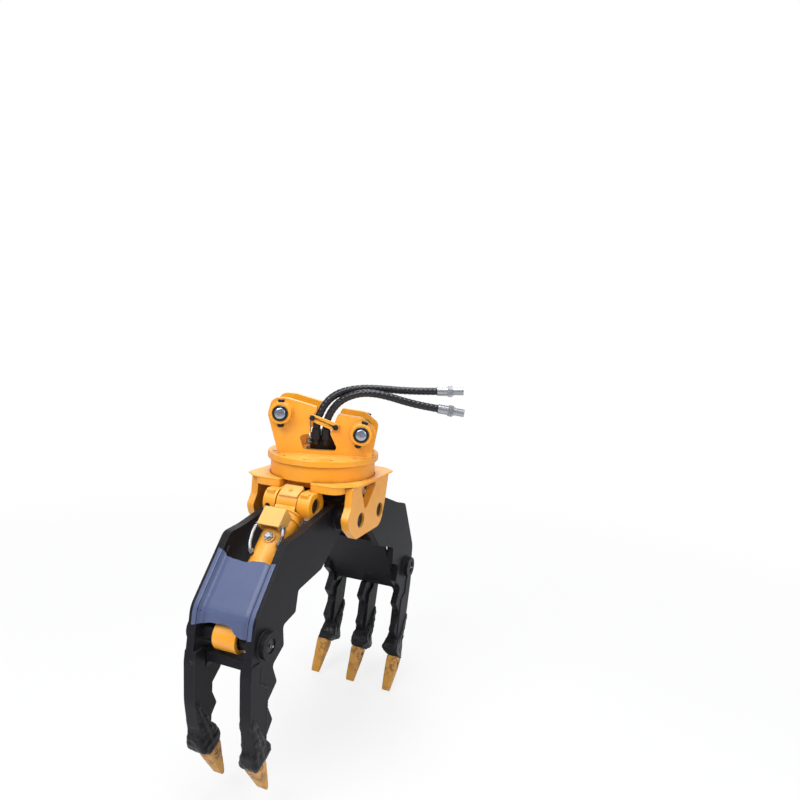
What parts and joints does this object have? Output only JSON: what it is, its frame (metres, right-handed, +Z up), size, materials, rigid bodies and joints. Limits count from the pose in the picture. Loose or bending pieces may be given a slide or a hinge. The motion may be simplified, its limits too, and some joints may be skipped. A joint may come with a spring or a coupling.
{
  "type": "grapple",
  "caption": "Turning grapple for a small excavator: two interleaving toothed jaws swung by oil cylinders under a slewing ring and a two-pin coupler bracket.",
  "frame": {"origin": "on the slewing axis at mid height between the two coupler pins, where the machine's coupler holds it", "axes": "+Z up along the slewing axis, +X along the jaw pins, the two-tined front jaw towards -Y"},
  "size_m": [0.6724, 1.0661, 1.2365],
  "materials": {
    "yellow_paint": "orange yellow machine paint, satin, worn at the edges",
    "black_paint": "black gloss enamel with scuffs",
    "pin_steel": "blued pin steel with grease",
    "ring_steel": "orange yellow machine paint over turned steel",
    "race_steel": "ground bearing steel",
    "rod_chrome": "hard chrome",
    "fastener_black": "blackened bolts",
    "fitting_zinc": "bright zinc",
    "tooth_steel": "cast tooth steel in tan primer",
    "guard_paint": "black blue enamel that mirrors the sky",
    "hose_rubber": "black rubber hose in a spiral guard",
    "port_paint": "pale dusty paint"
  },
  "bodies": {
    "bracket": {"ear_plate_front": "yellow_paint", "ear_plate_rear": "yellow_paint", "bracket_webs": "yellow_paint", "pin_collars": "ring_steel", "coupler_pins": "pin_steel", "pin_retaining_bolts": "fastener_black", "hose_clamp_bar": "yellow_paint", "hose_clamp_bolts": "fastener_black", "head_disc": "yellow_paint", "head_bolts": "fastener_black", "slew_ring_outer": "ring_steel", "swivel_housing": "fitting_zinc", "swivel_fittings": "fitting_zinc", "supply_hose_a": "hose_rubber", "supply_hose_b": "hose_rubber", "supply_couplings": "fitting_zinc"},
    "roller_row": {"slew_rollers": "race_steel"},
    "turntable": {"slew_ring_inner": "race_steel", "swivel_spindle": "fitting_zinc", "turntable_plate": "yellow_paint", "turntable_bolts": "fastener_black", "lug_plate_left": "yellow_paint", "lug_plate_right": "yellow_paint", "barrel_pin_mounts": "yellow_paint", "barrel_pins": "pin_steel", "jaw_pins": "pin_steel", "jaw_pin_keepers": "fastener_black"},
    "front_jaw": {"front_adapters": "black_paint", "front_cross_tubes": "black_paint", "front_guard_plate": "guard_paint", "front_hub_tube": "black_paint", "front_rod_pin": "pin_steel", "front_teeth": "tooth_steel", "front_tine_left": "black_paint", "front_tine_right": "black_paint", "front_tooth_pins": "pin_steel"},
    "front_cylinder_barrel": {"front_barrel": "yellow_paint", "front_barrel_eye": "yellow_paint", "front_gland": "black_paint", "front_port_guard": "port_paint"},
    "front_cylinder_rod": {"front_rod": "rod_chrome", "front_rod_eye": "yellow_paint", "front_piston": "race_steel"},
    "rear_jaw": {"rear_adapters": "black_paint", "rear_cross_tubes": "black_paint", "rear_hub_tube": "black_paint", "rear_inner_plate": "black_paint", "rear_rod_pin": "pin_steel", "rear_teeth": "tooth_steel", "rear_tine_left": "black_paint", "rear_tine_middle": "black_paint", "rear_tine_right": "black_paint", "rear_tooth_pins": "pin_steel"},
    "rear_cylinder_barrel": {"rear_barrel": "yellow_paint", "rear_barrel_eye": "yellow_paint", "rear_gland": "black_paint", "rear_port_guard": "port_paint"},
    "rear_cylinder_rod": {"rear_rod": "rod_chrome", "rear_rod_eye": "yellow_paint", "rear_piston": "race_steel"}
  },
  "joints": [
    {"name": "slew", "type": "hinge", "parent": "bracket", "child": "turntable", "pos_m": [0, 0, -0.157], "axis": [0, 0, 1], "continuous": true},
    {"name": "roller_orbit", "type": "hinge", "parent": "bracket", "child": "roller_row", "pos_m": [0, 0, -0.157], "axis": [0, 0, 1], "continuous": true},
    {"name": "front_jaw_swing", "type": "hinge", "parent": "turntable", "child": "front_jaw", "pos_m": [0, -0.075, -0.306], "axis": [1, 0, 0], "range_deg": [-14, 30]},
    {"name": "front_barrel_swing", "type": "hinge", "parent": "turntable", "child": "front_cylinder_barrel", "pos_m": [0, -0.19, -0.25], "axis": [1, 0, 0], "range_deg": [-15.64, 32.38]},
    {"name": "front_rod_slide", "type": "slide", "parent": "front_cylinder_barrel", "child": "front_cylinder_rod", "axis": [0, -0.6968, -0.7173], "range_m": [-0.0308, 0.0649]},
    {"name": "rear_jaw_swing", "type": "hinge", "parent": "turntable", "child": "rear_jaw", "pos_m": [0, 0.075, -0.306], "axis": [-1, 0, 0], "range_deg": [-24, 20]},
    {"name": "rear_barrel_swing", "type": "hinge", "parent": "turntable", "child": "rear_cylinder_barrel", "pos_m": [0, 0.19, -0.25], "axis": [-1, 0, 0], "range_deg": [-26.1, 21.92]},
    {"name": "rear_rod_slide", "type": "slide", "parent": "rear_cylinder_barrel", "child": "rear_cylinder_rod", "axis": [0, 0.5524, -0.8336], "range_m": [-0.0521, 0.0436]}
  ],
  "couplings": [
    {"joint": "roller_orbit", "follows": "slew", "ratio": 0.5},
    {"joint": "front_barrel_swing", "follows": "front_jaw_swing", "ratio": 1.046},
    {"joint": "front_rod_slide", "follows": "front_jaw_swing", "m_per_rad": 0.1221},
    {"joint": "rear_barrel_swing", "follows": "rear_jaw_swing", "ratio": 1.046},
    {"joint": "rear_rod_slide", "follows": "rear_jaw_swing", "m_per_rad": 0.1221}
  ]
}
